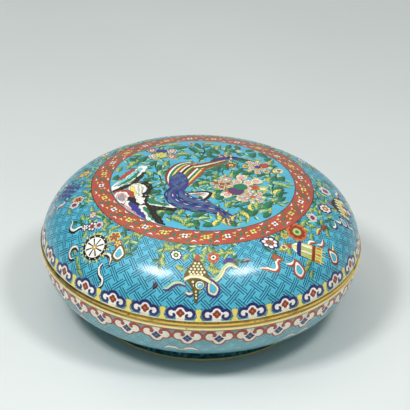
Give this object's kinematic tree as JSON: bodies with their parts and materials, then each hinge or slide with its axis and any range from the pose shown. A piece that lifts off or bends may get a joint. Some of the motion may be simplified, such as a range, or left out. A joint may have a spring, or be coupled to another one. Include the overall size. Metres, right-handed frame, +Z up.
{
  "type": "round cloisonne enamel box with a domed cover",
  "caption": "Low round box with a domed lift-off cover, gilt bands at the seam and a low foot ring, hollow, in polychrome cloisonne enamel on a turquoise fret ground.",
  "frame": {"origin": "centre of the footprint, on the surface that the foot ring stands on", "axes": "+Z up along the axis of the box; +X to the right and -Y towards the viewer; the pieces are turned about Z"},
  "size_m": [0.3, 0.3, 0.131],
  "materials": {
    "lid_enamel": "polished cloisonne enamel, many colours on a turquoise ground",
    "bowl_enamel": "polished cloisonne enamel, muted turquoise ground",
    "foot_enamel": "polished dark blue enamel with a gilt lower edge",
    "gilding": "worn gilt copper alloy"
  },
  "bodies": {
    "root": {"foot_ring": "foot_enamel", "bowl": "bowl_enamel", "bowl_rim": "gilding", "lid_rim": "gilding", "lid": "lid_enamel"}
  },
  "joints": []
}
